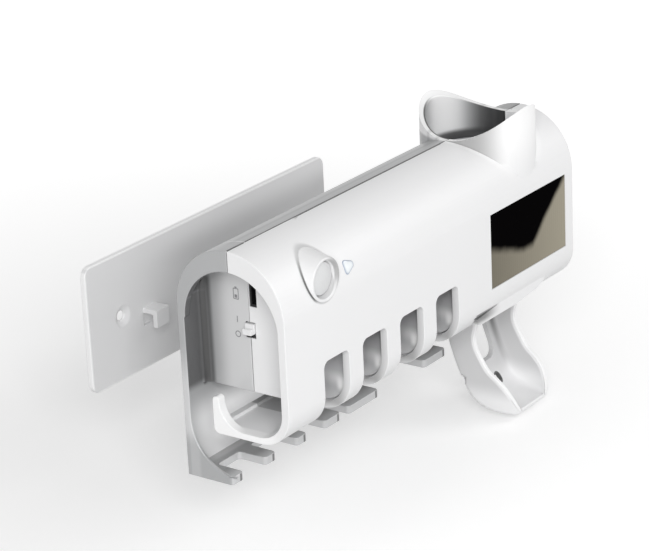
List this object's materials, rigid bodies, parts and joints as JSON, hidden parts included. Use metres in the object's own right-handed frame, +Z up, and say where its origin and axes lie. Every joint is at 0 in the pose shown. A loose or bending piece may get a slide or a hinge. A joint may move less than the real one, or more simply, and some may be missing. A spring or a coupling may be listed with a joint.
{
  "type": "wall mounted toothbrush holder",
  "caption": "Wall toothbrush holder with a domed lamp chamber, brush windows, a slotted rack, a solar panel and a push lever toothpaste pump under a tube collar.",
  "frame": {"origin": "middle of the wall plate's back face, on the wall", "axes": "+X to the right along the holder as seen from the front, +Y into the wall, +Z up"},
  "size_m": [0.24, 0.1367, 0.155],
  "materials": {
    "plate": "satin",
    "silver": "satin",
    "white": "gloss",
    "liner": "satin",
    "steel": "satin",
    "board": "satin",
    "black": "satin",
    "lamp": "gloss",
    "quartz": "clear",
    "cell": "gloss",
    "lens": "satin",
    "light": "gloss",
    "solar": "gloss",
    "seal": "matte",
    "pump": "satin",
    "wire": "satin"
  },
  "bodies": {
    "wall_side": {"wall_plate": "plate"},
    "holder": {"rear_housing": "silver", "front_cover": "white", "housing_screws": "steel", "chamber_liner": "liner", "uv_board": "board", "uv_lamps": "lamp", "uv_windows": "quartz", "main_board": "board", "board_parts": "black", "battery_cell": "cell", "battery_cradle": "black", "charge_socket": "black", "switch_body": "steel", "pir_lens": "lens", "pir_sensor": "steel", "sensor_board": "board", "light_pipe": "light", "status_led": "light", "solar_panel": "solar", "battery_leads": "wire", "panel_leads": "wire", "lamp_leads": "wire", "tube_socket": "pump", "tube_seal": "seal", "pump_body": "pump", "pump_cap": "pump", "return_spring": "steel", "outlet_valve": "seal", "nozzle": "pump", "lever_pin": "steel"},
    "switch_knob": {"switch_slider": "white"},
    "lever": {"push_lever": "white"},
    "piston": {"pump_piston": "pump", "piston_seal": "black"}
  },
  "joints": [
    {"name": "hang_on_wall", "type": "slide", "parent": "wall_side", "child": "holder", "axis": [0, 1, 0], "range_m": [0, 0.0747]},
    {"name": "switch_slide", "type": "slide", "parent": "holder", "child": "switch_knob", "axis": [0, 0, -1], "range_m": [0, 0.002]},
    {"name": "lever_hinge", "type": "hinge", "parent": "holder", "child": "lever", "pos_m": [0.08, -0.092, -0.01], "axis": [1, 0, 0], "range_deg": [0, 15], "stiffness_Nm_per_rad": 0.3, "springref_deg": -17.19},
    {"name": "piston_slide", "type": "slide", "parent": "holder", "child": "piston", "axis": [0, -1, 0], "range_m": [0, 0.0058], "deforming": ["return_spring"]}
  ],
  "couplings": [
    {"joint": "piston_slide", "follows": "lever_hinge", "m_per_rad": 0.0215}
  ]
}
